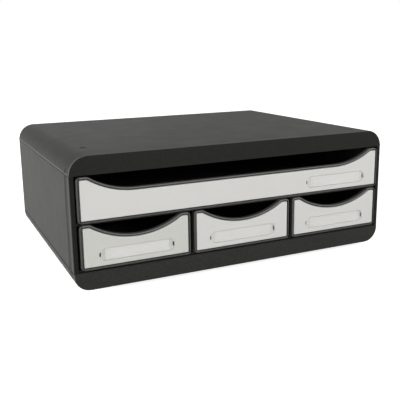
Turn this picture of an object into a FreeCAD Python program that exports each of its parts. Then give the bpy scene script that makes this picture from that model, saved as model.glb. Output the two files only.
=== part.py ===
import FreeCAD, Part
import math
import os
from types import SimpleNamespace

import Sketcher
from FreeCAD import Placement, Rotation, Vector

# Driving sizes in millimetres. X runs across the drawer faces, Y from the faces to the back, Z up.
SIZES = {
    # The whole box on its feet
    "overall_width": 355.0,
    "overall_depth": 270.0,
    "overall_height": 135.0,
    # Lid and base shells
    "lid_height": 18.4,
    "base_height": 18.0,
    "base_straight": 2.0,
    "shell_wall": 2.5,
    "shell_edge_radius": 1.0,
    "bead_proud": 0.5,
    "bead_height": 1.4,
    "seam_chamfer": 0.8,
    "corner_groove": 0.9,
    "corner_groove_depth": 1.2,
    "corner_groove_run": 4.5,
    "corner_groove_height": 6.0,
    "rib_thickness": 2.0,
    "gate_mark_diameter": 6.0,
    "gate_mark_depth": 0.5,
    "gate_mark_from_side": 25.5,
    "gate_mark_from_front": 46.0,
    # Side and rear panels, front posts
    "panel_wall": 2.5,
    "rear_wall": 2.2,
    "rear_field_margin": 14.0,
    "rear_field_depth": 0.6,
    "post_width": 4.6,
    "post_depth": 13.0,
    "post_edge_radius": 1.2,
    "peg_height": 2.0,
    "peg_gap": 0.3,
    "peg_end_gap": 1.5,
    "tongue_wall": 2.0,
    "tongue_gap": 0.5,
    "tongue_height": 4.0,
    "tongue_root": 6.0,
    "tongue_end_gap": 0.3,
    "ledge_width": 2.5,
    "ledge_height": 2.0,
    # Decks, dividers and guide rails
    "shelf_wall": 2.0,
    "deck_front_gap": 0.5,
    "divider_wall": 1.6,
    "divider_setback": 8.0,
    "guide_wall": 2.0,
    "guide_cover": 1.3,
    "guide_ledge_wall": 2.3,
    "stop_from_front": 66.6,
    # Drawer faces and the gaps round them
    "face_proud": 2.7,
    "bottom_gap": 2.8,
    "tier_gap": 1.7,
    "top_gap": 1.3,
    "side_gap": 1.6,
    "column_gap": 4.0,
    "row_inset": 0.8,
    "face_thickness": 5.0,
    "face_edge_radius": 1.1,
    "rim_width": 1.5,
    "scoop_shoulder": 10.1,
    # Drawer trays
    "slide_gap": 0.3,
    "tray_inset": 0.6,
    "tray_wall": 2.0,
    "tray_floor": 2.0,
    "tray_wall_drop": 4.0,
    "tray_corner_radius": 4.0,
    "tray_floor_radius": 1.5,
    "tray_end_gap": 2.2,
    "hold_gap": 0.7,
    "lug_length": 6.0,
    "lug_gap": 0.5,
    # Front inserts, label windows and cards
    "insert_gap": 1.2,
    "insert_back": 0.2,
    "insert_thickness": 2.0,
    "insert_corner_radius": 1.1,
    "insert_tip_radius": 1.3,
    "insert_edge_radius": 0.35,
    "label_length": 76.4,
    "label_depth": 1.3,
    "window_gap": 0.15,
    "window_thickness": 0.9,
    "window_end_gap": 2.2,
    "notch_width": 1.8,
    "notch_end_gap": 3.9,
    "card_thickness": 0.3,
    "card_end_gap": 5.8,
    "card_gap": 0.5,
    # Feet
    "foot_height": 6.0,
    "foot_diameter": 18.0,
    "foot_edge_radius": 1.5,
    "foot_from_side": 36.0,
    "foot_from_end": 38.0,
    "stem_diameter": 7.0,
    "stem_gap": 0.25,
    "stem_head_diameter": 10.0,
    "stem_head_height": 1.6,
    # How far a cut runs past the face it opens
    "overrun": 1.0,
    # Shares of a drawer face's height
    "scoop_share": 0.318,
    "label_share": 0.281,
    "label_rise_share": 0.3065,
}

# The narrow drawers stand side by side under the wide one
COLUMNS = {"left_drawer": -1, "middle_drawer": 0, "right_drawer": 1}
TIERS = 2
SIDES = {"left": -1, "right": 1}

# Each sketch plane: the role of the origin plane and the sense of its normal along the frame's axis
PLANES = {"front": ("XZ_Plane", -1), "side": ("YZ_Plane", 1), "flat": ("XY_Plane", 1)}

# Points closer than this count as one when edges are picked
TOLERANCE = 1e-4

DOC = FreeCAD.newDocument("DesktopDrawerBox")


class Size:
    """A length that carries both its number and the sheet expression that gives it."""

    def __init__(self, number, text):
        self.number = number
        self.text = text

    def _join(self, sign, other, number):
        return Size(number, f"({self.text} {sign} {getattr(other, 'text', other)})")

    def __add__(self, other):
        return self._join("+", other, self.number + other.number)

    def __sub__(self, other):
        return self._join("-", other, self.number - other.number)

    def __mul__(self, other):
        return self._join("*", other, self.number * getattr(other, "number", other))

    def __truediv__(self, other):
        return self._join("/", other, self.number / getattr(other, "number", other))

    def __neg__(self):
        return Size(-self.number, f"(0 - {self.text})")


def leg(hypotenuse, other):
    """The third side of a right triangle, from its long side and one short side."""
    area = hypotenuse * hypotenuse - other * other
    return Size(math.sqrt(area.number), f"sqrt({area.text})")


def make_sheet():
    """Writes one plain number and one alias in each row, and gives each alias as a size."""
    sheet = DOC.addObject("Spreadsheet::Sheet", "Sizes")
    for row, (alias, number) in enumerate(SIZES.items(), start=1):
        sheet.set(f"A{row}", alias)
        sheet.set(f"B{row}", str(number))
        sheet.setAlias(f"B{row}", alias)
    DOC.recompute()
    return SimpleNamespace(**{alias: Size(number, f"Sizes.{alias}") for alias, number in SIZES.items()})


S = make_sheet()
ZERO = Size(0.0, "0")

# Planes across the depth, front to rear
FACE_FRONT = -(S.overall_depth / 2)
FACE_BACK = FACE_FRONT + S.face_thickness
SHELL_FRONT = FACE_FRONT + S.face_proud
SHELL_FRONT_IN = SHELL_FRONT + S.shell_wall
DECK_FRONT = FACE_BACK + S.deck_front_gap
POST_BACK = SHELL_FRONT + S.post_depth
STOP_FACE = FACE_FRONT + S.stop_from_front
REAR = S.overall_depth / 2
REAR_IN = REAR - S.rear_wall
SHELL_REAR_IN = REAR - S.shell_wall
REAR_TONGUE_OUT = SHELL_REAR_IN - S.tongue_end_gap
REAR_TONGUE_IN = REAR_TONGUE_OUT - S.tongue_wall
TRAY_REAR = REAR_TONGUE_IN - S.tray_end_gap

# Levels of the shells
BASE_TOP = S.foot_height + S.base_height
BASE_FLOOR = S.foot_height + S.shell_wall
LID_BOTTOM = S.overall_height - S.lid_height

# Planes across the width, outside to inside
SIDE = S.overall_width / 2 - S.bead_proud
PANEL_IN = SIDE - S.panel_wall
POST_IN = SIDE - S.post_width


def shell_inside(rise):
    """How far from the middle the inner face of a shell lies, a rise away from its seam."""
    return SIDE - S.base_height + leg(S.base_height - S.shell_wall, rise)


PEG_OUT = shell_inside(S.peg_height) - S.peg_gap
TONGUE_OUT = shell_inside(S.tongue_height) - S.tongue_gap
TONGUE_IN = TONGUE_OUT - S.tongue_wall

# Drawer faces: two tiers of one height, the lower one in columns
FACE_HEIGHT = (LID_BOTTOM - BASE_TOP - S.bottom_gap - S.tier_gap - S.top_gap) / TIERS
NARROW_BOTTOM = BASE_TOP + S.bottom_gap
WIDE_BOTTOM = NARROW_BOTTOM + FACE_HEIGHT + S.tier_gap
WIDE_HALF = POST_IN - S.side_gap
PITCH = ((WIDE_HALF - S.row_inset) * 2 + S.column_gap) / len(COLUMNS)
NARROW_HALF = (PITCH - S.column_gap) / 2
DECK_TOP = NARROW_BOTTOM - S.slide_gap
SHELF_TOP = WIDE_BOTTOM - S.slide_gap
SHELF_BOTTOM = SHELF_TOP - S.shelf_wall

# Finger scoops: one arc over a narrow drawer, and its two halves with a flat between them over the wide one
SCOOP_DEPTH = FACE_HEIGHT * S.scoop_share
SCOOP_HALF = NARROW_HALF - S.scoop_shoulder
SCOOP_RADIUS = (SCOOP_HALF * SCOOP_HALF + SCOOP_DEPTH * SCOOP_DEPTH) / (SCOOP_DEPTH * 2)

# Side walls of the trays, the lugs at their rear and the room under what holds them down
WALL_HEIGHT = FACE_HEIGHT - S.tray_wall_drop
NARROW_WALL_TOP = NARROW_BOTTOM + WALL_HEIGHT
WIDE_WALL_TOP = WIDE_BOTTOM + WALL_HEIGHT
LUG_HEIGHT = SHELF_BOTTOM - NARROW_WALL_TOP - S.lug_gap
LUG_FRONT = TRAY_REAR - S.lug_length
LUG_PASSAGE = LUG_HEIGHT + S.lug_gap - S.hold_gap

# Front inserts and their labels
INSERT_INSET = S.rim_width + S.insert_gap
INSERT_FRONT = FACE_FRONT + S.insert_back
RECESS_DEPTH = S.insert_back + S.insert_thickness
LABEL_FLOOR = INSERT_FRONT + S.label_depth
LABEL_RISE = FACE_HEIGHT * S.label_rise_share
LABEL_HEIGHT = FACE_HEIGHT * S.label_share
LABEL_RADIUS = LABEL_HEIGHT / 2
LABEL_STRAIGHT = S.label_length / 2 - LABEL_RADIUS
WINDOW_END = S.label_length / 2 - S.window_end_gap
CARD_FRONT = LABEL_FLOOR - S.card_thickness


def new_body(label):
    """An empty body with the label that names its file."""
    body = DOC.addObject("PartDesign::Body", label)
    body.Label = label
    return body


def arc_between(start, end, radius, turn):
    """The sketch arc of under half a turn from start to end, turning left (1) or right (-1)."""
    chord = end - start
    rise = math.sqrt(max(radius ** 2 - (chord.Length / 2) ** 2, 0.0))
    centre = (start + end) / 2 + Vector(-chord.y, chord.x, 0).normalize() * rise * turn
    first, last = (start, end) if turn > 0 else (end, start)
    angles = [math.atan2(point.y - centre.y, point.x - centre.x) for point in (first, last)]
    if angles[1] < angles[0]:
        angles[1] += 2 * math.pi
    return Part.ArcOfCircle(Part.Circle(centre, Vector(0, 0, 1), radius), *angles)


def point_rules(index, end, x, y):
    """The two driving rules that put a point of a line, arc or circle at a place."""
    return [("DistanceX", (-1, 1, index, end), x), ("DistanceY", (-1, 1, index, end), y)]


def add_loop(sketch, corners):
    """Draws a closed loop and gives its rules.

    Each corner is x, y and, where an arc leads from it to the next corner, that arc's radius and turn.
    """
    first = sketch.GeometryCount
    points = [Vector(corner[0].number, corner[1].number, 0) for corner in corners]
    ends = []
    rules = []
    for index, corner in enumerate(corners):
        start, end = points[index], points[(index + 1) % len(points)]
        if len(corner) == 2:
            sketch.addGeometry(Part.LineSegment(start, end), False)
            ends.append((1, 2))
        else:
            radius, turn = corner[2:]
            sketch.addGeometry(arc_between(start, end, radius.number, turn), False)
            ends.append((1, 2) if turn > 0 else (2, 1))
            rules.append(("Radius", (first + index,), radius))
    for index, corner in enumerate(corners):
        after = (index + 1) % len(corners)
        rules.append(("Coincident", (first + index, ends[index][1], first + after, ends[after][0]), None))
        rules += point_rules(first + index, ends[index][0], corner[0], corner[1])
    return rules


def add_circle(sketch, x, y, diameter):
    """Draws a circle and gives its rules."""
    centre = Vector(x.number, y.number, 0)
    index = sketch.addGeometry(Part.Circle(centre, Vector(0, 0, 1), diameter.number / 2), False)
    return point_rules(index, 3, x, y) + [("Diameter", (index,), diameter)]


def constraint(kind, where, size):
    """One constraint of a rule, with its number where the rule has a size."""
    number = () if size is None else (size.number,)
    return Sketcher.Constraint(kind, *where, *number)


def new_sketch(body, name, plane, place, loops=(), circles=()):
    """A sketch on one of the body's own planes, moved to a place along the frame's axis."""
    role, sense = PLANES[plane]
    sketch = body.newObject("Sketcher::SketchObject", name)
    support = next(feature for feature in body.Origin.OriginFeatures if feature.Role == role)
    sketch.AttachmentSupport = [(support, "")]
    sketch.MapMode = "FlatFace"
    offset = place * sense
    sketch.AttachmentOffset = Placement(Vector(0, 0, offset.number), Rotation())
    sketch.setExpression("AttachmentOffset.Base.z", offset.text)
    rules = [rule for loop in loops for rule in add_loop(sketch, loop)]
    rules += [rule for circle in circles for rule in add_circle(sketch, *circle)]
    sketch.addConstraint([constraint(*rule) for rule in rules])
    for index, (_, _, size) in enumerate(rules):
        if size is not None:
            sketch.setExpression(f"Constraints[{index}]", size.text)
    return sketch


def volume(body):
    """The body's volume, or nothing while it has no solid yet."""
    return 0.0 if body.Shape.isNull() else body.Shape.Volume


def extrude(body, kind, name, plane, place, length, towards, shapes):
    """A Pad or Pocket from a sketch, towards the rising (1) or falling (-1) side of the plane's axis."""
    before = volume(body)
    sketch = new_sketch(body, f"{name}Sketch", plane, place, **shapes)
    feature = body.newObject(f"PartDesign::{kind}", name)
    feature.Profile = sketch
    feature.setExpression("Length", length.text)
    # A pad follows the sketch's normal and a pocket goes against it, unless reversed
    along_normal = towards == PLANES[plane][1]
    feature.Reversed = along_normal == (kind == "Pocket")
    DOC.recompute()
    change = volume(body) - before
    if abs(change) < TOLERANCE or (change < 0) != (kind == "Pocket"):
        raise RuntimeError(f"{body.Label} {name} changed the volume by {change}")


def pad(body, name, plane, place, length, towards, **shapes):
    """Material added along the plane's axis."""
    extrude(body, "Pad", name, plane, place, length, towards, shapes)


def pocket(body, name, plane, place, length, towards, **shapes):
    """Material removed along the plane's axis."""
    extrude(body, "Pocket", name, plane, place, length, towards, shapes)


def dress(body, kind, name, size, chosen):
    """A Fillet or Chamfer on the edges that a test picks by their ends and middle."""
    names = []
    for index, edge in enumerate(body.Shape.Edges, start=1):
        middle = edge.valueAt((edge.FirstParameter + edge.LastParameter) / 2)
        if chosen([vertex.Point for vertex in edge.Vertexes] + [middle]):
            names.append(f"Edge{index}")
    if not names:
        raise RuntimeError(f"{body.Label} {name} finds no edge")
    base = body.Tip
    feature = body.newObject(f"PartDesign::{kind}", name)
    feature.Base = (base, names)
    feature.setExpression("Radius" if kind == "Fillet" else "Size", size.text)
    DOC.recompute()


def lies_at(points, **places):
    """Whether all of an edge's points lie at the named coordinates, on either side of the middle plane."""
    for axis, size in places.items():
        values = [abs(point.x) if axis == "x" else getattr(point, axis) for point in points]
        if any(abs(value - size.number) > TOLERANCE for value in values):
            return False
    return True


def rectangle(left, right, low, high):
    """The four corners of a rectangle."""
    return [(left, low), (right, low), (right, high), (left, high)]


def mirrored(corners):
    """Straight corners on the other side of the middle plane."""
    return [(-x, y) for x, y in corners]


def on_side(corners, side):
    """A loop drawn for the right side, or its mirror image for the left."""
    return corners if side > 0 else mirrored(corners)


def both_sides(corners):
    """A loop drawn for the right side and its mirror image."""
    return [corners, mirrored(corners)]


def shell_outline(wall, seam, height, straight, up):
    """A shell's section a wall inside its outer face: straight sides from the seam, then two round corners."""
    side = SIDE - wall
    radius = height - straight - wall
    corner = side - radius
    level = seam + (height - wall) * up
    bend = seam + straight * up
    section = [(-side, bend, radius, -up), (-corner, level), (corner, level, radius, -up), (side, bend)]
    return section if straight.number == 0 else [(-side, seam), *section, (side, seam)]


def make_shell(label, seam, height, straight, up):
    """A moulded shell with two long round edges, closed at both ends and open at the seam."""
    body = new_body(label)
    outer = shell_outline(ZERO, seam, height, straight, up)
    pad(body, "Outer", "front", SHELL_FRONT, REAR - SHELL_FRONT, 1, loops=[outer])
    dress(body, "Fillet", "EndEdges", S.shell_edge_radius, lambda points: (
        (lies_at(points, y=SHELL_FRONT) or lies_at(points, y=REAR)) and not lies_at(points, z=seam)))
    inner = SIDE - S.shell_wall
    past = seam - S.overrun * up
    section = shell_outline(S.shell_wall, seam, height, straight, up)
    if straight.number > 0:
        section = section[1:-1]
    hollow = [(-inner, past), *section, (inner, past)]
    pocket(body, "Hollow", "front", SHELL_FRONT_IN, SHELL_REAR_IN - SHELL_FRONT_IN, 1, loops=[hollow])
    add_beads(body, seam, up)
    add_corner_grooves(body, seam, up)
    return body


def add_beads(body, seam, up):
    """The thin bead along both side edges of a shell, with the shell's half of the seam groove."""
    proud = SIDE + S.bead_proud
    root = SIDE - S.shell_wall / 2
    top = seam + S.bead_height * up
    foot = top + S.bead_proud * up
    bead = [(root, seam), (proud, seam), (proud, top), (SIDE, foot), (root, foot)]
    start = SHELL_FRONT + S.shell_edge_radius
    pad(body, "Beads", "front", start, REAR - S.shell_edge_radius - start, 1, loops=both_sides(bead))
    dress(body, "Chamfer", "SeamEdges", S.seam_chamfer, lambda points: lies_at(points, x=proud, z=seam))


def corner_groove():
    """The groove behind a front post, seen from above: steep at the post and a long ramp on the wall."""
    mouth = S.bead_proud + S.overrun
    deep, wide = SIDE - S.corner_groove_depth, SIDE + mouth
    spread = (S.corner_groove_depth + mouth) / S.corner_groove_depth
    return [(deep, POST_BACK), (wide, POST_BACK - S.corner_groove * spread),
            (wide, POST_BACK + S.corner_groove_run * spread)]


def add_corner_grooves(body, seam, up):
    """The short upright grooves that carry on the groove behind each front post."""
    pocket(body, "CornerGrooves", "flat", seam, S.corner_groove_height, up, loops=both_sides(corner_groove()))


def make_lid():
    """The lid shell with the small round gate mark near its front left corner."""
    body = make_shell("top_cover", LID_BOTTOM, S.lid_height, ZERO, 1)
    mark = (S.gate_mark_from_side - SIDE, FACE_FRONT + S.gate_mark_from_front, S.gate_mark_diameter)
    pocket(body, "GateMark", "flat", S.overall_height, S.gate_mark_depth, -1, circles=[mark])


def make_base():
    """The base shell with the long ribs under the deck and the sockets of the feet."""
    body = make_shell("base_shell", BASE_TOP, S.base_height, S.base_straight, -1)
    half = S.rib_thickness / 2
    rear = REAR_TONGUE_IN - S.tongue_end_gap
    ribs = []
    for place in (PITCH / 2, SIDE - S.base_height):
        ribs += both_sides(rectangle(place - half, place + half, SHELL_FRONT_IN, rear))
    pad(body, "Ribs", "flat", BASE_FLOOR, BASE_TOP - BASE_FLOOR, 1, loops=ribs)
    hole = S.stem_diameter + S.stem_gap * 2
    sockets = [(x, y, hole) for x, y in foot_places().values()]
    pocket(body, "FootSockets", "flat", S.foot_height, S.shell_wall, 1, circles=sockets)


def foot_places():
    """The centre of each foot."""
    x = SIDE - S.foot_from_side
    rows = {"front": SHELL_FRONT + S.foot_from_end, "rear": REAR - S.foot_from_end}
    return {f"{row}_{name}_foot": (x * side, y) for row, y in rows.items() for name, side in SIDES.items()}


def make_foot(label, x, y):
    """A rubber foot with a stem through the base's floor and a head that keeps it there."""
    body = new_body(label)
    pad(body, "Pad", "flat", ZERO, S.foot_height, 1, circles=[(x, y, S.foot_diameter)])
    dress(body, "Fillet", "Edge", S.foot_edge_radius, lambda points: lies_at(points, z=ZERO))
    pad(body, "Stem", "flat", S.foot_height, S.shell_wall, 1, circles=[(x, y, S.stem_diameter)])
    pad(body, "Head", "flat", BASE_FLOOR, S.stem_head_height, 1, circles=[(x, y, S.stem_head_diameter)])


def seam_section(inner, outer):
    """An upright wall's section between the shells, with the wall's half of both seam grooves."""
    cut = S.seam_chamfer
    return [(inner, BASE_TOP), (outer - cut, BASE_TOP), (outer, BASE_TOP + cut),
            (outer, LID_BOTTOM - cut), (outer - cut, LID_BOTTOM), (inner, LID_BOTTOM)]


def inner_steps(root, wall, ledge):
    """A side wall's inner steps, top to bottom: the roots of both tongues and the ledge between them."""
    high, low = LID_BOTTOM - S.tongue_root, BASE_TOP + S.tongue_root
    under = SHELF_BOTTOM - S.ledge_height
    return [(root, LID_BOTTOM), (root, high), (wall, high), (wall, SHELF_BOTTOM), (ledge, SHELF_BOTTOM),
            (ledge, under), (wall, under), (wall, low), (root, low), (root, BASE_TOP)]


def make_side_panel(label, side):
    """A flat side wall with tongues into both shells and a ledge under the middle shelf."""
    body = new_body(label)
    section = seam_section(TONGUE_IN, SIDE)[1:-1] + inner_steps(TONGUE_IN, PANEL_IN, PANEL_IN - S.ledge_width)
    pad(body, "Wall", "front", POST_BACK, REAR_IN - POST_BACK, 1, loops=[on_side(section, side)])
    tongue = on_side(rectangle(TONGUE_IN, TONGUE_OUT, POST_BACK, REAR_TONGUE_OUT), side)
    pad(body, "UpperTongue", "flat", LID_BOTTOM, S.tongue_height, 1, loops=[tongue])
    pad(body, "LowerTongue", "flat", BASE_TOP, S.tongue_height, -1, loops=[tongue])
    pocket(body, "Groove", "flat", BASE_TOP, LID_BOTTOM - BASE_TOP, 1, loops=[on_side(corner_groove(), side)])


def make_post(label, side):
    """A front post with a rounded outer edge, half a groove behind it and a peg at each end."""
    body = new_body(label)
    section = on_side(seam_section(POST_IN, SIDE), side)
    pad(body, "Column", "front", SHELL_FRONT, S.post_depth, 1, loops=[section])
    dress(body, "Fillet", "Edge", S.post_edge_radius, lambda points: lies_at(points, x=SIDE, y=SHELL_FRONT))
    dress(body, "Chamfer", "Groove", S.corner_groove, lambda points: lies_at(points, x=SIDE, y=POST_BACK))
    front, back = SHELL_FRONT_IN + S.peg_end_gap, POST_BACK - S.peg_end_gap
    peg = on_side(rectangle(POST_IN + S.peg_gap, PEG_OUT, front, back), side)
    pad(body, "UpperPeg", "flat", LID_BOTTOM, S.peg_height, 1, loops=[peg])
    pad(body, "LowerPeg", "flat", BASE_TOP, S.peg_height, -1, loops=[peg])


def make_rear_panel():
    """The back wall with a shallow field, tongues into both shells and a ledge under the middle shelf."""
    body = new_body("rear_panel")
    pad(body, "Wall", "side", -SIDE, SIDE * 2, 1, loops=[seam_section(REAR_IN, REAR)])
    tongues = []
    for seam, up in ((LID_BOTTOM, 1), (BASE_TOP, -1)):
        root, tip = seam - S.tongue_root * up, seam + S.tongue_height * up
        tongues.append([(REAR_TONGUE_IN, root), (REAR_IN, root), (REAR_IN, seam),
                        (REAR_TONGUE_OUT, seam), (REAR_TONGUE_OUT, tip), (REAR_TONGUE_IN, tip)])
    ledge = rectangle(REAR_TONGUE_IN, REAR_IN, SHELF_BOTTOM - S.ledge_height, SHELF_BOTTOM)
    reach = TONGUE_IN - S.tongue_end_gap
    pad(body, "Tongues", "side", -reach, reach * 2, 1, loops=[*tongues, ledge])
    wide = SIDE - S.rear_field_margin
    field = rectangle(-wide, wide, BASE_TOP + S.rear_field_margin, LID_BOTTOM - S.rear_field_margin)
    pocket(body, "Field", "front", REAR, S.rear_field_depth, -1, loops=[field])


def make_deck():
    """The lower deck on the base's ribs, on which the narrow drawers slide."""
    body = new_body("lower_deck")
    outline = rectangle(-TONGUE_IN, TONGUE_IN, DECK_FRONT, REAR_TONGUE_IN)
    pad(body, "Plate", "flat", BASE_TOP, DECK_TOP - BASE_TOP, 1, loops=[outline])


def make_shelf():
    """The middle shelf under the wide drawer, with ribs that hold down and stop the narrow ones."""
    body = new_body("middle_shelf")
    neck = POST_IN - S.slide_gap
    outline = [(-neck, DECK_FRONT), (neck, DECK_FRONT), (neck, POST_BACK), (PANEL_IN, POST_BACK),
               (PANEL_IN, REAR_IN), (-PANEL_IN, REAR_IN), (-PANEL_IN, POST_BACK), (-neck, POST_BACK)]
    pad(body, "Plate", "flat", SHELF_TOP, S.shelf_wall, -1, loops=[outline])
    outer = NARROW_HALF - S.tray_inset
    inner = outer - S.tray_wall
    ribs = []
    for column in COLUMNS.values():
        middle = PITCH * column
        ribs.append(rectangle(middle - outer, middle - inner, DECK_FRONT, STOP_FACE))
        ribs.append(rectangle(middle + inner, middle + outer, DECK_FRONT, STOP_FACE))
    pad(body, "StopRibs", "flat", SHELF_BOTTOM, LUG_PASSAGE, -1, loops=ribs)


def make_divider(label, side):
    """An upright plate with a round front edge between two narrow drawers, from the deck to the shelf."""
    body = new_body(label)
    x = PITCH / 2 * side
    half = S.divider_wall / 2
    nose = FACE_FRONT + S.divider_setback
    outline = [(x - half, nose + half, half, 1), (x, nose, half, 1), (x + half, nose + half),
               (x + half, REAR_TONGUE_IN), (x - half, REAR_TONGUE_IN)]
    pad(body, "Plate", "flat", DECK_TOP, SHELF_BOTTOM - DECK_TOP, 1, loops=[outline])


def make_guide(label, side):
    """A rail on the side panel that holds the wide drawer down and stops its lugs."""
    body = new_body(label)
    low = WIDE_WALL_TOP + S.hold_gap
    high = LID_BOTTOM + S.tongue_height
    ledge_top = low + LUG_PASSAGE + S.guide_ledge_wall
    leg_in = TONGUE_IN - S.guide_wall
    ledge_in = WIDE_HALF - S.tray_inset - S.tray_wall - S.guide_cover
    section = [(TONGUE_IN, low), (TONGUE_IN, high), (leg_in, high), (leg_in, ledge_top),
               (ledge_in, ledge_top), (ledge_in, low)]
    pad(body, "Rail", "front", POST_BACK, REAR_TONGUE_IN - POST_BACK, 1, loops=[on_side(section, side)])
    passage = rectangle(ledge_in - S.overrun, TONGUE_IN + S.overrun, STOP_FACE, REAR_TONGUE_IN + S.overrun)
    pocket(body, "LugPassage", "flat", low, LUG_PASSAGE, 1, loops=[on_side(passage, side)])


def face_outline(drawer, inset):
    """A drawer face with its finger scoop, drawn in by an inset, from the lower left corner on."""
    low, high = drawer.bottom + inset, drawer.bottom + FACE_HEIGHT - inset
    wide = drawer.half - inset
    corner = S.insert_corner_radius + INSERT_INSET - inset
    tip = S.insert_tip_radius + INSERT_INSET - inset
    scoop = SCOOP_RADIUS + inset
    base = high - SCOOP_DEPTH
    # The tip's arc meets the scoop's arc on the line between their centres
    reach = scoop + tip
    run = leg(reach, reach - SCOOP_DEPTH)
    tip_x = drawer.flat + run
    meet_x = drawer.flat + run * scoop / reach
    meet_z = base + scoop - (reach - SCOOP_DEPTH) * scoop / reach
    right = [(-wide + corner, low), (wide - corner, low, corner, 1), (wide, low + corner),
             (wide, high - corner, corner, 1), (wide - corner, high), (tip_x, high, tip, 1),
             (meet_x, meet_z, scoop, -1)]
    flat = [(drawer.flat, base)] if drawer.flat.number > 0 else []
    left = [(-drawer.flat, base, scoop, -1), (-meet_x, meet_z, tip, 1), (-tip_x, high),
            (-wide + corner, high, corner, 1), (-wide, high - corner), (-wide, low + corner, corner, 1)]
    return right + flat + left


def make_tray(drawer):
    """A moulded tray whose face carries the insert, with a lug at the rear of each side wall."""
    body = new_body(f"{drawer.label}_tray")
    pad(body, "Face", "front", FACE_FRONT, S.face_thickness, 1, loops=[face_outline(drawer, ZERO)])
    dress(body, "Fillet", "FaceEdges", S.face_edge_radius, lambda points: lies_at(points, y=FACE_FRONT))
    outer = drawer.half - S.tray_inset
    inner = outer - S.tray_wall
    rear_in = TRAY_REAR - S.tray_wall
    top = drawer.bottom + WALL_HEIGHT
    floor = drawer.bottom + S.tray_floor
    box = rectangle(-outer, outer, FACE_BACK, TRAY_REAR)
    pad(body, "Box", "flat", drawer.bottom, WALL_HEIGHT, 1, loops=[box])
    cavity = rectangle(-inner, inner, FACE_BACK, rear_in)
    pocket(body, "Cavity", "flat", top, top - floor, -1, loops=[cavity])
    dress(body, "Fillet", "Corners", S.tray_corner_radius, lambda points: lies_at(points, x=inner, y=rear_in))
    dress(body, "Fillet", "FloorEdges", S.tray_floor_radius, lambda points: lies_at(points, z=floor))
    recess = face_outline(drawer, S.rim_width)
    pocket(body, "Recess", "front", FACE_FRONT, RECESS_DEPTH, 1, loops=[recess])
    lugs = both_sides(rectangle(inner, outer, LUG_FRONT, TRAY_REAR))
    pad(body, "Lugs", "flat", top, LUG_HEIGHT, 1, loops=lugs)
    move_to_column(body, drawer)


def label_slot(x, z):
    """The label recess: a slot whose round ends are two quarter turns each."""
    left, right = x - LABEL_STRAIGHT, x + LABEL_STRAIGHT
    radius = LABEL_RADIUS
    return [(left, z - radius), (right, z - radius, radius, 1), (right + radius, z, radius, 1),
            (right, z + radius), (left, z + radius, radius, 1), (left - radius, z, radius, 1)]


def make_insert(drawer):
    """The pale front insert with its label recess and a nail notch at each end of the label."""
    body = new_body(f"{drawer.label}_front_insert")
    outline = face_outline(drawer, INSERT_INSET)
    pad(body, "Panel", "front", INSERT_FRONT, S.insert_thickness, 1, loops=[outline])
    dress(body, "Fillet", "Edges", S.insert_edge_radius, lambda points: lies_at(points, y=INSERT_FRONT))
    x, z = drawer.label_x, drawer.bottom + LABEL_RISE
    pocket(body, "LabelRecess", "front", INSERT_FRONT, S.label_depth, 1, loops=[label_slot(x, z)])
    width, height = S.notch_width / 2, LABEL_RADIUS - S.notch_end_gap
    reach = WINDOW_END + S.window_end_gap / 2
    notches = [rectangle(middle - width, middle + width, z - height, z + height)
               for middle in (x - reach, x + reach)]
    pocket(body, "Notches", "front", LABEL_FLOOR, S.insert_thickness, 1, loops=notches)
    move_to_column(body, drawer)


def make_window(drawer):
    """The clear label window, cut short at both ends to leave the nail notches open."""
    body = new_body(f"{drawer.label}_label_window")
    x, z = drawer.label_x, drawer.bottom + LABEL_RISE
    radius = LABEL_RADIUS - S.window_gap
    rise = leg(radius, WINDOW_END - LABEL_STRAIGHT)
    left, right = x - LABEL_STRAIGHT, x + LABEL_STRAIGHT
    outline = [(left, z - radius), (right, z - radius, radius, 1), (x + WINDOW_END, z - rise),
               (x + WINDOW_END, z + rise, radius, 1), (right, z + radius), (left, z + radius, radius, 1),
               (x - WINDOW_END, z + rise), (x - WINDOW_END, z - rise, radius, 1)]
    pad(body, "Window", "front", CARD_FRONT, S.window_thickness, -1, loops=[outline])
    move_to_column(body, drawer)


def make_card(drawer):
    """The blank label card behind the window."""
    body = new_body(f"{drawer.label}_label_card")
    x, z = drawer.label_x, drawer.bottom + LABEL_RISE
    wide, tall = S.label_length / 2 - S.card_end_gap, LABEL_RADIUS - S.card_gap
    outline = rectangle(x - wide, x + wide, z - tall, z + tall)
    pad(body, "Card", "front", LABEL_FLOOR, S.card_thickness, -1, loops=[outline])
    move_to_column(body, drawer)


def move_to_column(body, drawer):
    """Moves a drawer's piece from the middle of the box to its column."""
    shift = PITCH * drawer.column
    body.Placement = Placement(Vector(shift.number, 0, 0), Rotation())
    body.setExpression("Placement.Base.x", shift.text)


def drawers():
    """The wide drawer above, with its label over the right column, and the narrow ones below."""
    narrow = [SimpleNamespace(label=label, half=NARROW_HALF, bottom=NARROW_BOTTOM, column=column,
                              flat=ZERO, label_x=ZERO) for label, column in COLUMNS.items()]
    wide = SimpleNamespace(label="wide_drawer", half=WIDE_HALF, bottom=WIDE_BOTTOM, column=0,
                           flat=PITCH, label_x=PITCH)
    return [wide] + narrow


def make_parts():
    """Every piece of the box, each in a body of its own."""
    make_base()
    make_lid()
    make_rear_panel()
    make_deck()
    make_shelf()
    for name, side in SIDES.items():
        make_side_panel(f"{name}_side_panel", side)
        make_post(f"{name}_front_post", side)
        make_divider(f"{name}_divider", side)
        make_guide(f"{name}_guide_rail", side)
    for label, (x, y) in foot_places().items():
        make_foot(label, x, y)
    for drawer in drawers():
        make_tray(drawer)
        make_insert(drawer)
        make_window(drawer)
        make_card(drawer)


def bodies():
    """The bodies of the document, in the order they were made."""
    return [item for item in DOC.Objects if item.TypeId == "PartDesign::Body"]


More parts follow.
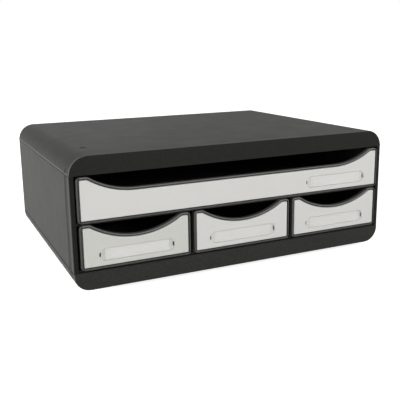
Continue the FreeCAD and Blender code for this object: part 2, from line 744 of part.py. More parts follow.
def check_document():
    """Stops where any object failed or a piece isn't one valid solid."""
    for item in DOC.Objects:
        if {"Invalid", "Error"} & set(item.State):
            raise RuntimeError(f"{item.Label} failed: {item.State}")
    for body in bodies():
        if body.Shape.isNull() or not body.Shape.isValid() or len(body.Shape.Solids) != 1:
            raise RuntimeError(f"{body.Label} isn't one valid solid")


def write_parts():
    """One STEP file for each body, named by its label."""
    os.makedirs("parts", exist_ok=True)
    for body in bodies():
        body.Shape.exportStep(f"parts/{body.Label}.step")
        print(f"{body.Label}: {body.Shape.Volume:.0f} mm3")
    print(f"drawer travel: {(LUG_FRONT - STOP_FACE).number:.1f} mm")


make_parts()
DOC.recompute()
check_document()
write_parts()
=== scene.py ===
"""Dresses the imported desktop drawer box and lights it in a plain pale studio.

The frame's solids keep their places and get their moulded plastics here. The clear label windows, the blank
cards and the rubber feet are rebuilt as finer meshes that stand for their solids.
"""
import logging
import math
from dataclasses import dataclass, field
from enum import Enum
from typing import Iterable, Sequence, Union

import bmesh
import bpy
from mathutils import Matrix, Vector


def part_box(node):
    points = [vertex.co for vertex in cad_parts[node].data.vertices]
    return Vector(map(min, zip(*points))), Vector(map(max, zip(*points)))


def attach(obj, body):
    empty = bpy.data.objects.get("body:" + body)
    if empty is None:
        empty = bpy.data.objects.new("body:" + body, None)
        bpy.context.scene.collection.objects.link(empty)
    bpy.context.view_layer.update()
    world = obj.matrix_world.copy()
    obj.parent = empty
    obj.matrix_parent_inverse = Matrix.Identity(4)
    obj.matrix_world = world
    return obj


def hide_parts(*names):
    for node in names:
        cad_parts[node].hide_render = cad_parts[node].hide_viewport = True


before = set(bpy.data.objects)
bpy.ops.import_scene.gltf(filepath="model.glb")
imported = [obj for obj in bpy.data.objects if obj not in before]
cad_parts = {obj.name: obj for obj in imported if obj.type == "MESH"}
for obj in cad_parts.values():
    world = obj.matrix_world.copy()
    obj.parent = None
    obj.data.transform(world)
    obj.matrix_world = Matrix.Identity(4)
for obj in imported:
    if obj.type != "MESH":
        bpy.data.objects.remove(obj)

LOG = logging.getLogger("drawer_box")
MM = 0.001

# The part of a noise's range that holds most of its values
NOISE_LOW, NOISE_HIGH = 0.35, 0.65
# Faces that meet at more degrees than this keep a sharp edge
SHARP_ANGLE = 38

Colour = tuple[float, float, float]
Place = tuple[float, float, float]
Outline = Sequence[tuple[float, float]]
Socket = bpy.types.NodeSocket
Feed = Union[float, int, bool, Sequence[float], Socket]


class Body(Enum):
    """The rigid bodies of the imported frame."""

    CASE = "case"
    WIDE_DRAWER = "wide_drawer"
    LEFT_DRAWER = "left_drawer"
    MIDDLE_DRAWER = "middle_drawer"
    RIGHT_DRAWER = "right_drawer"


class Slot(Enum):
    """The record's material slots for the rebuilt pieces; nothing in the script uses them."""

    WINDOW = "label_window"
    CARD = "label_card"
    FOOT = "foot_rubber"


def shade(red: float, green: float, blue: float) -> Colour:
    """A linear colour from sRGB levels of 0 to 255.

    Args:
        red: The red level.
        green: The green level.
        blue: The blue level.

    Returns:
        The linear red, green and blue.
    """
    def linear(level: float) -> float:
        """One channel from sRGB to linear."""
        share = level / 255
        return share / 12.92 if share <= 0.04045 else ((share + 0.055) / 1.055) ** 2.4

    return linear(red), linear(green), linear(blue)


def grey(level: float, warmth: float = 0.0) -> Colour:
    """A linear grey for an sRGB level, its blue lower by some warmth."""
    return shade(level, level, level - warmth)


class NodeBench:
    """A material's node tree, with short calls that add its nodes and join them."""

    def __init__(self, name: str) -> None:
        """Starts a material that holds one Principled shader.

        Args:
            name: The material's name.
        """
        self.material = bpy.data.materials.new(name)
        self.material.use_nodes = True
        self.tree = self.material.node_tree
        self.shader = self.tree.nodes["Principled BSDF"]
        self.place = self.add("ShaderNodeTexCoord").outputs["Object"]

    def add(self, kind: str, inputs: dict[str, Feed] | None = None, **settings: object) -> bpy.types.Node:
        """Adds one node.

        Args:
            kind: The node's type.
            inputs: What each named input gets, a value or another node's output.
            **settings: The node's own settings.

        Returns:
            The new node.
        """
        node = self.tree.nodes.new(kind)
        for name, value in settings.items():
            setattr(node, name, value)
        for name, value in (inputs or {}).items():
            self.feed(node.inputs[name], value)
        return node

    def feed(self, socket: Socket, value: Feed) -> None:
        """Joins an output to a socket, or writes a value on the socket itself.

        Args:
            socket: The input to feed.
            value: An output or a plain value.
        """
        if isinstance(value, bpy.types.NodeSocket):
            self.tree.links.new(value, socket)
        else:
            socket.default_value = value

    def set(self, **inputs: Feed) -> None:
        """Feeds the shader's inputs, whose names have underscores for spaces."""
        for name, value in inputs.items():
            wanted = name.replace("_", " ").lower()
            self.feed(next(s for s in self.shader.inputs if s.name.lower() == wanted), value)

    def noise(self, size: float, detail: float = 2.0, stretch: Place = (1.0, 1.0, 1.0)) -> Socket:
        """Soft noise over the piece.

        Args:
            size: The size of its features in metres.
            detail: How many finer layers it has.
            stretch: How much longer its features are along each axis.

        Returns:
            The noise, from 0 to 1 around a half.
        """
        place = self.place
        if stretch != (1.0, 1.0, 1.0):
            squeeze = tuple(1.0 / value for value in stretch)
            place = self.add("ShaderNodeMapping", {"Vector": self.place, "Scale": squeeze}).outputs["Vector"]
        node = self.add("ShaderNodeTexNoise", {"Vector": place, "Scale": 1.0 / size, "Detail": detail})
        return node.outputs["Fac"]

    def pits(self, size: float) -> Socket:
        """The rounded cells that spark erosion leaves in a mould.

        Args:
            size: The size of a cell in metres.

        Returns:
            The distance to each cell's middle, from 0 up.
        """
        inputs: dict[str, Feed] = {"Vector": self.place, "Scale": 1.0 / size, "Smoothness": 0.6}
        node = self.add("ShaderNodeTexVoronoi", inputs, feature="SMOOTH_F1")
        return node.outputs["Distance"]

    def spread(self, value: Socket, low: float, high: float, start: float = 0.3, end: float = 0.7) -> Socket:
        """Maps a value's usual range onto another one.

        Args:
            value: The value to map.
            low: What the range's start becomes.
            high: What the range's end becomes.
            start: Where the usual range starts.
            end: Where it ends.

        Returns:
            The mapped value, kept inside low and high.
        """
        node = self.add("ShaderNodeMapRange", {"Value": value, "From Min": start, "From Max": end,
                                               "To Min": low, "To Max": high})
        return node.outputs["Result"]

    def math(self, operation: str, first: Feed, second: Feed = 0.0, clamp: bool = False) -> Socket:
        """One sum of two values.

        Args:
            operation: The sum's name.
            first: The first value.
            second: The second value.
            clamp: Whether the result stays from 0 to 1.

        Returns:
            The result.
        """
        node = self.add("ShaderNodeMath", operation=operation, use_clamp=clamp)
        self.feed(node.inputs[0], first)
        self.feed(node.inputs[1], second)
        return node.outputs[0]

    def mixed(self, first: Socket, second: Socket, share: float) -> Socket:
        """A value between two others.

        Args:
            first: The first value.
            second: The second value.
            share: How much of the second one counts.

        Returns:
            The mixed value.
        """
        rest = self.math("MULTIPLY", first, 1.0 - share)
        return self.math("ADD", rest, self.math("MULTIPLY", second, share))

    def band(self, axis: str, low: float, high: float, soft: float = 0.15 * MM) -> Socket:
        """A band across the piece, with soft sides.

        Args:
            axis: The axis that it is measured along.
            low: Where the band starts.
            high: Where it ends.
            soft: The width of its soft sides.

        Returns:
            1 in the band and 0 outside it.
        """
        place = self.add("ShaderNodeSeparateXYZ", {"Vector": self.place}).outputs[axis]
        above = self.spread(place, 0.0, 1.0, low - soft, low + soft)
        below = self.spread(place, 1.0, 0.0, high - soft, high + soft)
        return self.math("MULTIPLY", above, below)

    def outer(self, distance: float, soft: float = 0.1 * MM) -> Socket:
        """What lies farther to the left or right than a distance.

        Args:
            distance: The distance from the box's middle plane.
            soft: The width of the soft border.

        Returns:
            1 outside the distance and 0 inside it.
        """
        place = self.add("ShaderNodeSeparateXYZ", {"Vector": self.place}).outputs["X"]
        return self.spread(self.math("ABSOLUTE", place), 0.0, 1.0, distance - soft, distance + soft)

    def upward(self) -> Socket:
        """1 on what faces up, falling to 0 on upright faces."""
        normal = self.add("ShaderNodeNewGeometry").outputs["Normal"]
        rise = self.add("ShaderNodeSeparateXYZ", {"Vector": normal}).outputs["Z"]
        return self.spread(rise, 0.0, 1.0, 0.15, 0.6)

    def blend(self, share: Feed, first: Feed, second: Feed) -> Socket:
        """A colour between two others.

        Args:
            share: How much of the second colour shows.
            first: The first colour.
            second: The second colour.

        Returns:
            The blended colour.
        """
        node = self.add("ShaderNodeMix", data_type="RGBA")
        sockets = {s.identifier: s for s in node.inputs}
        self.feed(sockets["Factor_Float"], share)
        for name, colour in (("A_Color", first), ("B_Color", second)):
            self.feed(sockets[name], colour if isinstance(colour, bpy.types.NodeSocket) else (*colour, 1.0))
        return next(s for s in node.outputs if s.identifier == "Result_Color")

    def rounded(self, radius: float) -> tuple[Socket, Socket]:
        """Rounds the piece's sharp edges in the shading.

        Args:
            radius: The radius of the rounding in metres.

        Returns:
            The rounded normal, and how far it leaves the true one, 0 away from edges.
        """
        bevel = self.add("ShaderNodeBevel", {"Radius": radius}, samples=6).outputs["Normal"]
        true = self.add("ShaderNodeNewGeometry").outputs["Normal"]
        dot = self.add("ShaderNodeVectorMath", operation="DOT_PRODUCT")
        self.feed(dot.inputs[0], bevel)
        self.feed(dot.inputs[1], true)
        return bevel, self.math("SUBTRACT", 1.0, dot.outputs["Value"], clamp=True)

    def bump(self, height: Socket, depth: float, strength: float, normal: Socket | None = None) -> Socket:
        """A fine relief in the shading.

        Args:
            height: The relief's height, from 0 to 1.
            depth: How deep a height of 1 is, in metres.
            strength: How much of it shows.
            normal: The normal that it starts from, if not the surface's own.

        Returns:
            The relief's normal.
        """
        inputs: dict[str, Feed] = {"Height": height, "Distance": depth, "Strength": strength}
        if normal is not None:
            inputs["Normal"] = normal
        return self.add("ShaderNodeBump", inputs).outputs["Normal"]


@dataclass(frozen=True)
class Stripe:
    """A band across a piece in a colour of its own, used for painted highlights on beads, edges and rim tops
    and for painted shade in grooves and on rim ends.
    """

    axis: str
    low: float
    high: float
    colour: Colour
    outside: float | None = None
    upward: bool = False
    soft: float = 0.1 * MM

    def over(self, bench: NodeBench, colour: Socket) -> Socket:
        """Lays the band over a colour.

        Args:
            bench: The node tree that it is added to.
            colour: The colour under it.

        Returns:
            The colour with the band on it.
        """
        share = bench.band(self.axis, self.low, self.high, self.soft)
        if self.outside is not None:
            share = bench.math("MULTIPLY", share, bench.outer(self.outside))
        # A band marked upward shows only on faces that point up: painted light from above.
        if self.upward:
            share = bench.math("MULTIPLY", share, bench.upward())
        return bench.blend(share, colour, self.colour)


@dataclass(frozen=True)
class MouldedPlastic:
    """An opaque plastic with a spark-eroded grain, faint clouds and edges in a colour of their own, a painted
    highlight when lighter and painted shade when darker.
    """

    name: str
    colour: Colour
    painted_edge_colour: Colour
    roughness: float = 0.55
    roughness_spread: float = 0.03
    specular: float = 0.1
    gloss_tint: Colour = (1.0, 1.0, 0.94)
    grain: float = 1.1 * MM
    grain_depth: float = 0.08 * MM
    grain_strength: float = 0.6
    pit_size_share: float = 0.6
    pit_depth_share: float = 0.4
    tone_spread: float = 0.3
    cloud: float = 24.0 * MM
    cloud_tone_share: float = 0.12
    cloud_gloss_share: float = 0.5
    edge_radius: float = 0.35 * MM
    painted_edge_share: float = 2.5
    stripes: tuple[Stripe, ...] = ()

    def material(self) -> bpy.types.Material:
        """The plastic as a node material."""
        bench = NodeBench(self.name)
        fine = bench.noise(self.grain, detail=4.0)
        pits = bench.pits(self.grain * self.pit_size_share)
        clouds = bench.noise(self.cloud, detail=3.0)
        rounded, edge = bench.rounded(self.edge_radius)
        dark = tuple(channel * (1.0 - self.tone_spread) for channel in self.colour)
        light = tuple(channel * (1.0 + self.tone_spread) for channel in self.colour)
        tone = bench.mixed(fine, clouds, self.cloud_tone_share)
        mottle = bench.spread(tone, 0.0, 1.0, NOISE_LOW, NOISE_HIGH)
        # Edges take their own colour: a painted highlight on most finishes, painted shade on the tray, whose
        # edge colour is darker.
        edge_paint_share = bench.math("MULTIPLY", edge, self.painted_edge_share, clamp=True)
        colour = bench.blend(edge_paint_share, bench.blend(mottle, dark, light), self.painted_edge_colour)
        for stripe in self.stripes:
            colour = stripe.over(bench, colour)
        smoothest, roughest = self.roughness - self.roughness_spread, self.roughness + self.roughness_spread
        gloss = bench.mixed(fine, clouds, self.cloud_gloss_share)
        relief = bench.mixed(fine, pits, self.pit_depth_share)
        bench.set(base_color=colour,
                  roughness=bench.spread(gloss, smoothest, roughest, NOISE_LOW, NOISE_HIGH),
                  specular_ior_level=self.specular, specular_tint=(*self.gloss_tint, 1.0),
                  normal=bench.bump(relief, self.grain_depth, self.grain_strength, rounded))
        return bench.material


@dataclass(frozen=True)
class ClearPlastic:
    """The thin clear plastic of the label windows."""

    name: str = "clear_label_window"
    colour: Colour = (0.9, 0.9, 0.9)
    opacity: float = 0.04
    roughness: float = 0.2

    def material(self) -> bpy.types.Material:
        """The clear plastic as a node material."""
        bench = NodeBench(self.name)
        ripple = bench.noise(30.0 * MM, detail=1.0)
        haze = bench.noise(2.5 * MM, detail=3.0)
        bench.set(base_color=bench.blend(bench.spread(haze, 0.0, 1.0), self.colour,
                                         tuple(channel * 0.96 for channel in self.colour)),
                  roughness=bench.spread(haze, self.roughness * 0.7, self.roughness * 1.3),
                  normal=bench.bump(ripple, 0.02 * MM, 0.1),
                  ior=1.49, alpha=self.opacity)
        return bench.material


@dataclass(frozen=True)
class Paper:
    """The blank card behind a label window: short fibres and a soft matte surface."""

    name: str = "blank_label_card"
    colour: Colour = field(default_factory=lambda: shade(219, 218, 214))

    def material(self) -> bpy.types.Material:
        """The card as a node material."""
        bench = NodeBench(self.name)
        fibres = bench.noise(0.5 * MM, detail=5.0, stretch=(4.0, 1.0, 1.0))
        bench.set(base_color=bench.blend(bench.spread(fibres, 0.0, 1.0), self.colour,
                                         tuple(channel * 0.95 for channel in self.colour)),
                  roughness=bench.spread(fibres, 0.75, 0.9),
                  specular_ior_level=0.2,
                  normal=bench.bump(fibres, 0.03 * MM, 0.4))
        return bench.material


@dataclass(frozen=True)
class Rubber:
    """The soft dark rubber of the feet, with paler dusty patches."""

    name: str = "foot_rubber"
    colour: Colour = field(default_factory=lambda: grey(36))

    def material(self) -> bpy.types.Material:
        """The rubber as a node material."""
        bench = NodeBench(self.name)
        dust = bench.noise(3.0 * MM, detail=4.0)
        fine = bench.noise(0.4 * MM, detail=2.0)
        bench.set(base_color=bench.blend(bench.spread(dust, 0.0, 1.0), self.colour, grey(52, 2)),
                  roughness=bench.spread(dust, 0.7, 0.9),
                  specular_ior_level=0.25,
                  normal=bench.bump(fine, 0.04 * MM, 0.5))
        return bench.material


@dataclass(frozen=True)
class Finishes:
    """The finishes of the whole box, each made once."""

    lid: bpy.types.Material
    base: bpy.types.Material
    case: bpy.types.Material
    post: bpy.types.Material
    inner: bpy.types.Material
    tray: bpy.types.Material
    insert: bpy.types.Material
    left_insert: bpy.types.Material
    window: bpy.types.Material
    card: bpy.types.Material
    rubber: bpy.types.Material

    @classmethod
    def mixed(cls) -> "Finishes":
        """Makes every finish, with painted highlights and painted shade laid into some of their colours."""
        # Painted highlight along the front edge of the lid and the base.
        front_edge_highlight = Stripe("Y", -132.22 * MM, -131.2 * MM, grey(78, 2), soft=0.04 * MM)
        # Painted shade in the groove behind the front posts, on the side faces.
        side_groove_shade = Stripe("Y", -126.0 * MM, -118.3 * MM, grey(10), outside=175.8 * MM)
        # Painted highlight on the side face of each front post.
        post_side_highlight = Stripe("Y", -132.1 * MM, -126.0 * MM, grey(45, 2), outside=176.2 * MM)
        # Painted highlight on the bead along the lid's lower edge.
        lid_bead_highlight = Stripe("Z", 117.4 * MM, 118.6 * MM, grey(72, 2), outside=176.6 * MM)
        # Painted highlight on the bead along the base's upper edge.
        base_bead_highlight = Stripe("Z", 22.0 * MM, 23.2 * MM, grey(56, 2), outside=176.6 * MM)
        # Painted highlight on the upward faces of the drawer rims.
        rim_top_highlight = Stripe("Y", -135.2 * MM, -134.6 * MM, grey(125, 2), upward=True)
        # Painted shade on the ends of the drawer rims.
        rim_end_shade = Stripe("Y", -135.2 * MM, -133.0 * MM, grey(52, 2), outside=167.5 * MM)

        def pale(name: str, red: float, green: float, blue: float) -> bpy.types.Material:
            """The satin plastic of the front inserts in a given shade, with a painted highlight on its edges.
            """
            # The inserts' edge colour is lighter than their face: a painted highlight.
            edge = shade(red + 16, green + 16, blue + 17)
            return MouldedPlastic(name, shade(red, green, blue), edge, roughness=0.42, specular=0.3,
                                  grain=0.5 * MM, grain_depth=0.02 * MM, grain_strength=0.3, tone_spread=0.012,
                                  edge_radius=0.25 * MM, painted_edge_share=1.0).material()

        return cls(
            # The lid, base, post and inner finishes are darker and lighter copies of one charcoal plastic:
            # painted shade on the lid and the posts, painted light on the base and the inner walls.
            lid=MouldedPlastic("charcoal_lid_painted_shade", grey(28, 2), grey(54, 2),
                               stripes=(front_edge_highlight, side_groove_shade, lid_bead_highlight)).material(),
            base=MouldedPlastic("charcoal_base_painted_light", grey(42, 2), grey(66, 2),
                                stripes=(front_edge_highlight, side_groove_shade, base_bead_highlight)).material(),
            case=MouldedPlastic("charcoal_case", grey(34, 2), grey(66, 2), stripes=(side_groove_shade,)).material(),
            post=MouldedPlastic("charcoal_post_painted_shade", grey(20, 1), grey(30, 1),
                                stripes=(post_side_highlight, side_groove_shade)).material(),
            inner=MouldedPlastic("charcoal_inner_painted_light", grey(36, 2), grey(54, 2)).material(),
            tray=MouldedPlastic("charcoal_tray", grey(74, 2), grey(50, 2), roughness=0.45, specular=0.2,
                                grain_depth=0.03 * MM, edge_radius=0.5 * MM,
                                stripes=(rim_top_highlight, rim_end_shade)).material(),
            insert=pale("pale_front_insert", 209, 208, 205),
            left_insert=pale("pale_left_front_insert", 199, 200, 194),
            window=ClearPlastic().material(),
            card=Paper().material(),
            rubber=Rubber().material(),
        )


def dress(name: str, material: bpy.types.Material) -> None:
    """Gives a node of the frame its finish.

    Args:
        name: The node's name.
        material: The finish.
    """
    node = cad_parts[name]
    for index in range(len(node.data.materials)):
        node.data.materials[index] = material
    LOG.info("%s: %s", name, material.name)


def piece(name: str, mesh: bmesh.types.BMesh, material: bpy.types.Material, body: Body,
          replaced: str) -> bpy.types.Object:
    """Turns a mesh into a piece that stands for a node of the frame.

    Args:
        name: The piece's name.
        mesh: Its mesh, in the row frame, which this call frees.
        material: Its finish.
        body: The body that it rides on.
        replaced: The node that it stands for.

    Returns:
        The new piece.
    """
    bmesh.ops.recalc_face_normals(mesh, faces=mesh.faces)
    data = bpy.data.meshes.new(name)
    mesh.to_mesh(data)
    mesh.free()
    data.materials.append(material)
    data.set_sharp_from_angle(angle=math.radians(SHARP_ANGLE))
    for face in data.polygons:
        face.use_smooth = True
    made = bpy.data.objects.new(name, data)
    bpy.context.scene.collection.objects.link(made)
    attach(made, body.value)
    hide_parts(replaced)
    LOG.info("%s: %s on %s", name, material.name, body.value)
    return made


def plate(outline: Outline, back: float, front: float, crown: float, bevel: float, steps: int = 4,
          crown_shares: Sequence[float] = (0.25, 0.5, 0.75), crown_reach: float = 0.9) -> bmesh.types.BMesh:
    """A flat plate across the drawer faces, with a rounded front edge and a slightly crowned front.

    Args:
        outline: Its corners as X and Z, anticlockwise from the front.
        back: The Y of its back.
        front: The Y of its front.
        crown: How far the front's middle stands proud of its edge, inside the plate's own depth.
        bevel: The radius of the rounded front edge.
        steps: How many rings round the edge.
        crown_shares: How far in each ring of the crowned front lies.
        crown_reach: How much of the way to the middle the rings go.

    Returns:
        The plate's closed mesh.
    """
    mesh = bmesh.new()
    count = len(outline)
    middle = Vector((sum(x for x, _ in outline) / count, sum(z for _, z in outline) / count))

    def ring(y: float, inset: float) -> list[bmesh.types.BMVert]:
        """One ring of the outline at a depth, drawn in towards the middle."""
        made = []
        for index, (x, z) in enumerate(outline):
            before, after = Vector(outline[index - 1]), Vector(outline[(index + 1) % len(outline)])
            along = (after - before).normalized()
            inward = Vector((-along.y, along.x))
            point = Vector((x, z)) + inward * inset
            made.append(mesh.verts.new((point.x, y, point.y)))
        return made

    rings = [ring(back, 0.0), ring(front + crown + bevel, 0.0)]
    for step in range(1, steps + 1):
        turn = math.pi / 2 * step / steps
        rings.append(ring(front + crown + bevel * (1 - math.sin(turn)), bevel * (1 - math.cos(turn))))
    for share in crown_shares:
        last = rings[-1]
        rise = crown * (1 - (1 - share) ** 2)
        made = []
        for vert in ring(front + crown, bevel):
            point = Vector((vert.co.x, vert.co.z)).lerp(middle, share * crown_reach)
            vert.co = Vector((point.x, front + crown - rise, point.y))
            made.append(vert)
        rings.append(made)
    for first, second in zip(rings, rings[1:]):
        for index in range(len(first)):
            after = (index + 1) % len(first)
            mesh.faces.new((first[index], first[after], second[after], second[index]))
    mesh.faces.new(rings[0])
    mesh.faces.new(list(reversed(rings[-1])))
    return mesh


def lathe(profile: Outline, centre: tuple[float, float], segments: int = 48) -> bmesh.types.BMesh:
    """Turns a profile round an upright axis.

    Args:
        profile: Radius and height of each point, from the axis at the bottom to the axis at the top.
        centre: The axis as X and Y.
        segments: How many steps make the round.

    Returns:
        The turned, closed mesh.
    """
    mesh = bmesh.new()
    rings = []
    for radius, height in profile:
        if radius == 0.0:
            rings.append([mesh.verts.new((*centre, height))])
            continue
        rings.append([mesh.verts.new((centre[0] + radius * math.cos(2 * math.pi * k / segments),
                                      centre[1] + radius * math.sin(2 * math.pi * k / segments), height))
                      for k in range(segments)])
    for first, second in zip(rings, rings[1:]):
        for k in range(segments):
            after = (k + 1) % segments
            corners = [first[k % len(first)], first[after % len(first)],
                       second[after % len(second)], second[k % len(second)]]
            unique = list(dict.fromkeys(corners))
            mesh.faces.new(unique)
    return mesh


@dataclass
class Case:
    """The still part of the box: shells, walls, posts, decks, dividers, rails and feet."""

    finishes: Finishes
    outside: tuple[str, ...] = ("left_side_panel", "right_side_panel", "rear_panel")
    posts: tuple[str, ...] = ("left_front_post", "right_front_post")
    inside: tuple[str, ...] = ("lower_deck", "middle_shelf", "left_divider", "right_divider",
                               "left_guide_rail", "right_guide_rail")
    feet: tuple[str, ...] = ("front_left_foot", "front_right_foot", "rear_left_foot", "rear_right_foot")
    groove_radius: float = 5.2 * MM
    groove_width: float = 0.9 * MM
    groove_depth: float = 0.6 * MM
    groove_floor_share: float = 0.4
    edge_radius: float = 1.5 * MM
    edge_steps: int = 6
    pad_height: float = 6.0 * MM
    pad_chamfer: float = 0.3 * MM
    stem_radius: float = 3.5 * MM
    head_bottom: float = 8.5 * MM
    head_radius: float = 5.0 * MM
    head_chamfer: float = 0.4 * MM

    def build(self) -> None:
        """Dresses the moulded pieces and rebuilds the feet."""
        dress("top_cover", self.finishes.lid)
        dress("base_shell", self.finishes.base)
        for name in self.outside:
            dress(name, self.finishes.case)
        for name in self.posts:
            dress(name, self.finishes.post)
        for name in self.inside:
            dress(name, self.finishes.inner)
        for name in self.feet:
            self.foot(name)

    def foot(self, name: str) -> None:
        """A rubber foot with a ring groove in its underside, a stem and a head.

        Args:
            name: The foot's node.
        """
        low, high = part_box(name)
        centre = ((low.x + high.x) / 2, (low.y + high.y) / 2)
        radius = (high.x - low.x) / 2
        pad, stem, head, top = self.pad_height, self.stem_radius, self.head_radius, high.z
        groove, depth, edge = self.groove_radius, self.groove_depth, self.edge_radius
        half = self.groove_width / 2
        flat = half * self.groove_floor_share
        profile = [(0.0, 0.0), (groove - half, 0.0), (groove - flat, depth), (groove + flat, depth),
                   (groove + half, 0.0)]
        for step in range(self.edge_steps + 1):
            turn = math.pi / 2 * step / self.edge_steps
            profile.append((radius - edge + edge * math.sin(turn), edge - edge * math.cos(turn)))
        profile += [(radius, pad - self.pad_chamfer), (radius - self.pad_chamfer, pad), (stem, pad),
                    (stem, self.head_bottom), (head, self.head_bottom), (head, top - self.head_chamfer),
                    (head - self.head_chamfer, top), (0.0, top)]
        piece(f"{name}_rubber", lathe(profile, centre), self.finishes.rubber, Body.CASE, name)


@dataclass
class Drawer:
    """One drawer: a dark tray, its pale front insert, the blank card and the clear window over it."""

    body: Body
    finishes: Finishes
    window_edge: float = 0.3 * MM
    window_crown: float = 0.08 * MM
    window_gap: float = 0.12 * MM
    window_corner_share: float = 0.7644
    card_corner: float = 0.8 * MM
    card_edge: float = 0.05 * MM

    def build(self) -> None:
        """Dresses the tray and the insert and rebuilds the label's card and window."""
        dress(f"{self.body.value}_tray", self.finishes.tray)
        dress(f"{self.body.value}_front_insert",
              self.finishes.left_insert if self.body is Body.LEFT_DRAWER else self.finishes.insert)
        self.card()
        self.window()

    def card(self) -> None:
        """The blank card, with rounded corners."""
        name = f"{self.body.value}_label_card"
        low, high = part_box(name)
        outline = rounded_rectangle(low.x, high.x, low.z, high.z, self.card_corner)
        mesh = plate(outline, high.y, low.y, 0.0, self.card_edge, steps=1)
        piece(f"{name}_blank", mesh, self.finishes.card, self.body, name)

    def window(self) -> None:
        """The clear window, with a rounded edge and a slightly crowned front."""
        name = f"{self.body.value}_label_window"
        low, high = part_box(name)
        corner = (high.z - low.z) / 2 * self.window_corner_share
        outline = rounded_rectangle(low.x, high.x, low.z, high.z, corner)
        mesh = plate(outline, high.y - self.window_gap, low.y, self.window_crown, self.window_edge)
        piece(f"{name}_clear", mesh, self.finishes.window, self.body, name)


def rounded_rectangle(left: float, right: float, low: float, high: float, radius: float,
                      steps: int = 8) -> list[tuple[float, float]]:
    """The points of a rectangle with round corners.

    Args:
        left: Its lowest X.
        right: Its highest X.
        low: Its lowest Z.
        high: Its highest Z.
        radius: The radius of its corners.
        steps: How many steps a corner has.

    Returns:
        The points, anticlockwise from the lower right corner.
    """
    points = []
    for x, z, start in ((right - radius, low + radius, -90), (right - radius, high - radius, 0),
                        (left + radius, high - radius, 90), (left + radius, low + radius, 180)):
        for step in range(steps + 1):
            turn = math.radians(start + 90 * step / steps)
            points.append((x + radius * math.cos(turn), z + radius * math.sin(turn)))
    return points


@dataclass(frozen=True)
class Softbox:
    """A square lamp that looks at the box."""

    name: str
    place: Place
    width: float
    watts: float
    colour: Colour = (1.0, 1.0, 1.0)

    def hang(self, target: Vector) -> None:
        """Hangs the lamp and turns it to a point.

        Args:
            target: The point that it looks at.
        """
        lamp = bpy.data.lights.new(self.name, "AREA")
        lamp.shape, lamp.size, lamp.energy, lamp.color = "SQUARE", self.width, self.watts, self.colour
        made = bpy.data.objects.new(self.name, lamp)
        made.location = self.place
        made.rotation_mode = "QUATERNION"
        made.rotation_quaternion = (target - Vector(self.place)).to_track_quat("-Z", "Y")
        made.visible_camera = False
        bpy.context.scene.collection.objects.link(made)


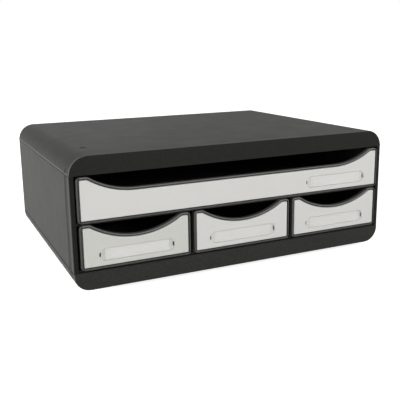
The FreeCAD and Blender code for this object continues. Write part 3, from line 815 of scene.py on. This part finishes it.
@dataclass
class Studio:
    """The pale floor, the soft light and the camera."""

    floor_half: float = 6.0
    floor_level: float = -0.02 * MM
    floor_colour: Colour = (0.8, 0.8, 0.8)
    floor_glow: float = 0.82
    ambient: Colour = (0.25, 0.25, 0.25)
    lamps: tuple[Softbox, ...] = (
        Softbox("front_softbox", (0.1, -2.3, 1.3), 1.2, 20.0),
        Softbox("low_front_softbox", (0.1, -2.5, 0.35), 1.2, 5.0),
        Softbox("right_softbox", (1.5, -1.8, 1.2), 1.2, 15.0),
        Softbox("left_softbox", (-2.2, 0.1, 0.3), 1.2, 100.0),
        Softbox("rear_softbox", (0.3, 2.3, 0.6), 1.0, 0.9),
    )
    lamps_aim: Place = (0.0, 0.0, 70.0 * MM)
    target: Vector = field(default_factory=lambda: Vector((0.013622, 0.0, 0.065753)))
    azimuth: float = -24.7335
    elevation: float = 12.4248
    roll: float = -0.8439
    distance: float = 0.760523
    focal_pixels: float = 620.653
    axis_row: float = 182.775
    picture_pixels: float = 400.0
    sensor: float = 36.0
    nearest: float = 0.01
    farthest: float = 50.0

    def build(self) -> None:
        """Sets up the floor, the light and the camera."""
        self.floor()
        self.world()
        for lamp in self.lamps:
            lamp.hang(Vector(self.lamps_aim))
        self.camera()
        bpy.context.scene.view_settings.view_transform = "Standard"
        LOG.info("studio: floor, world, %d softboxes and the camera", len(self.lamps))

    def seen(self, bench: NodeBench) -> Socket:
        """1 for what the camera, a reflection or clear plastic sees, and 0 for light on the box.

        Args:
            bench: The node tree that it is added to.

        Returns:
            The share.
        """
        path = bench.add("ShaderNodeLightPath").outputs
        mirrored = bench.math("MAXIMUM", path["Is Glossy Ray"], path["Is Transmission Ray"])
        return bench.math("MAXIMUM", path["Is Camera Ray"], mirrored)

    def floor(self) -> None:
        """A plain pale floor that keeps the box's shadow."""
        half, level = self.floor_half, self.floor_level
        mesh = bmesh.new()
        mesh.faces.new([mesh.verts.new((x, y, level))
                        for x, y in ((-half, -half), (half, -half), (half, half), (-half, half))])
        data = bpy.data.meshes.new("studio_floor")
        mesh.to_mesh(data)
        mesh.free()
        bench = NodeBench("pale_floor")
        paper = bench.noise(2.0 * MM, detail=2.0)
        bench.set(base_color=bench.blend(bench.spread(paper, 0.0, 1.0), self.floor_colour,
                                         tuple(channel * 0.99 for channel in self.floor_colour)),
                  roughness=0.9, specular_ior_level=0.1, emission_color=(1.0, 1.0, 1.0, 1.0),
                  emission_strength=bench.math("MULTIPLY", self.seen(bench), self.floor_glow))
        data.materials.append(bench.material)
        made = bpy.data.objects.new("studio_floor", data)
        bpy.context.scene.collection.objects.link(made)

    def world(self) -> None:
        """Soft even light all round, white where it is seen."""
        made = bpy.data.worlds.new("pale_studio")
        made.use_nodes = True
        bpy.context.scene.world = made
        tree = made.node_tree
        shown = tree.nodes["Background"]
        path = tree.nodes.new("ShaderNodeLightPath")
        first = tree.nodes.new("ShaderNodeMath")
        second = tree.nodes.new("ShaderNodeMath")
        first.operation = second.operation = "MAXIMUM"
        tree.links.new(path.outputs["Is Glossy Ray"], first.inputs[0])
        tree.links.new(path.outputs["Is Transmission Ray"], first.inputs[1])
        tree.links.new(first.outputs[0], second.inputs[0])
        tree.links.new(path.outputs["Is Camera Ray"], second.inputs[1])
        mix = tree.nodes.new("ShaderNodeMix")
        mix.data_type = "RGBA"
        sockets = {s.identifier: s for s in mix.inputs}
        sockets["A_Color"].default_value = (*self.ambient, 1.0)
        sockets["B_Color"].default_value = (1.0, 1.0, 1.0, 1.0)
        tree.links.new(second.outputs[0], sockets["Factor_Float"])
        tree.links.new(next(s for s in mix.outputs if s.identifier == "Result_Color"), shown.inputs["Color"])

    def camera(self) -> None:
        """The camera at the photograph's own angle, height and distance."""
        azimuth, elevation, roll = (math.radians(v) for v in (self.azimuth, self.elevation, self.roll))
        back = Vector((math.sin(azimuth) * math.cos(elevation), -math.cos(azimuth) * math.cos(elevation),
                       math.sin(elevation)))
        right = Vector((math.cos(azimuth), math.sin(azimuth), 0.0))
        up = back.cross(right)
        right, up = (right * math.cos(roll) + up * math.sin(roll),
                     up * math.cos(roll) - right * math.sin(roll))
        data = bpy.data.cameras.new("camera")
        data.sensor_width = self.sensor
        data.lens = self.focal_pixels / self.picture_pixels * self.sensor
        data.shift_y = self.axis_row / self.picture_pixels - 0.5
        data.clip_start, data.clip_end = self.nearest, self.farthest
        made = bpy.data.objects.new("camera", data)
        turn = Matrix((right, up, back)).transposed()
        made.matrix_world = Matrix.Translation(self.target + back * self.distance) @ turn.to_4x4()
        bpy.context.scene.collection.objects.link(made)
        bpy.context.scene.camera = made


def main() -> None:
    """Dresses the case and the drawers, then sets up the studio."""
    logging.basicConfig(level=logging.INFO, format="%(message)s")
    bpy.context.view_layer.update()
    finishes = Finishes.mixed()
    Case(finishes).build()
    for body in (Body.WIDE_DRAWER, Body.LEFT_DRAWER, Body.MIDDLE_DRAWER, Body.RIGHT_DRAWER):
        Drawer(body, finishes).build()
    Studio().build()


if __name__ == "__main__":
    main()
